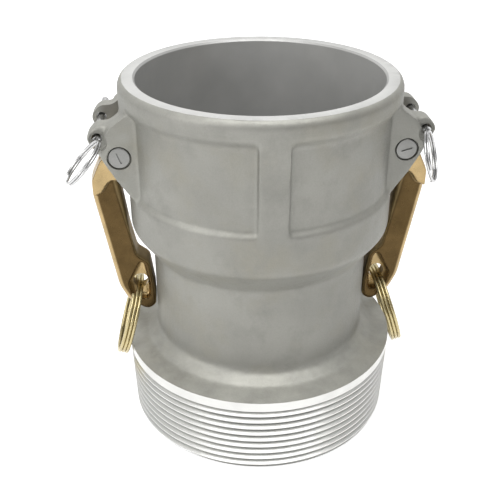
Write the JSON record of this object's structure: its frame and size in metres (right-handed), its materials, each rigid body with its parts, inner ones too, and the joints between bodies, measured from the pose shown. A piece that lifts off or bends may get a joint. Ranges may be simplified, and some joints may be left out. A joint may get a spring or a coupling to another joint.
{
  "type": "camlock coupling",
  "caption": "Female cam and groove hose coupler with a male taper pipe thread, hinged cam arms with finger rings, and safety pins that lock them shut.",
  "frame": {"origin": "on the bore axis, at the plane of the threaded end's face", "axes": "+Z along the bore axis towards the mouth that takes the adapter; the two arms and their ears lie along +X and -X; the safety pins are drawn towards -Y"},
  "size_m": [0.1382, 0.1122, 0.1459],
  "materials": {
    "cast_aluminium": "satin, cast",
    "nitrile_rubber": "matte",
    "gold_arm": "polished, plated",
    "pivot_metal": "ground",
    "gold_ring": "polished, plated",
    "bright_steel": "polished"
  },
  "bodies": {
    "coupler": {"coupler_body": "cast_aluminium", "gasket": "nitrile_rubber", "left_pivot_pin": "pivot_metal", "right_pivot_pin": "pivot_metal"},
    "left_arm": {"left_cam_arm": "gold_arm"},
    "left_pull_ring": {"left_finger_ring": "gold_ring"},
    "left_pin": {"left_safety_pin": "bright_steel"},
    "left_pin_ring": {"left_safety_ring": "bright_steel"},
    "right_arm": {"right_cam_arm": "gold_arm"},
    "right_pull_ring": {"right_finger_ring": "gold_ring"},
    "right_pin": {"right_safety_pin": "bright_steel"},
    "right_pin_ring": {"right_safety_ring": "bright_steel"}
  },
  "joints": [
    {"name": "left_arm_pivot", "type": "hinge", "parent": "coupler", "child": "left_arm", "pos_m": [-0.0531, 0, 0.12095], "axis": [0, 1, 0], "range_deg": [0, 105]},
    {"name": "left_finger_ring_swing", "type": "hinge", "parent": "left_arm", "child": "left_pull_ring", "pos_m": [-0.04985, 0, 0.0592], "axis": [0, 1, 0], "range_deg": [0, 70]},
    {"name": "left_safety_pin_draw", "type": "slide", "parent": "coupler", "child": "left_pin", "axis": [0, -1, 0], "range_m": [0, 0.07]},
    {"name": "left_safety_ring_swing", "type": "hinge", "parent": "left_pin", "child": "left_pin_ring", "pos_m": [-0.0609, -0.0187, 0.1273], "axis": [-0.7373, 0, 0.6756], "range_deg": [0, 40]},
    {"name": "right_arm_pivot", "type": "hinge", "parent": "coupler", "child": "right_arm", "pos_m": [0.0531, 0, 0.12095], "axis": [0, -1, 0], "range_deg": [0, 105]},
    {"name": "right_finger_ring_swing", "type": "hinge", "parent": "right_arm", "child": "right_pull_ring", "pos_m": [0.04985, 0, 0.0592], "axis": [0, -1, 0], "range_deg": [0, 70]},
    {"name": "right_safety_pin_draw", "type": "slide", "parent": "coupler", "child": "right_pin", "axis": [0, -1, 0], "range_m": [0, 0.07]},
    {"name": "right_safety_ring_swing", "type": "hinge", "parent": "right_pin", "child": "right_pin_ring", "pos_m": [0.0609, -0.0187, 0.1273], "axis": [-0.9563, 0, -0.2924], "range_deg": [0, 40]}
  ],
  "couplings": [
    {"joint": "left_safety_pin_draw", "follows": "left_arm_pivot", "m_per_rad": 0.0375},
    {"joint": "right_safety_pin_draw", "follows": "right_arm_pivot", "m_per_rad": 0.0375}
  ]
}
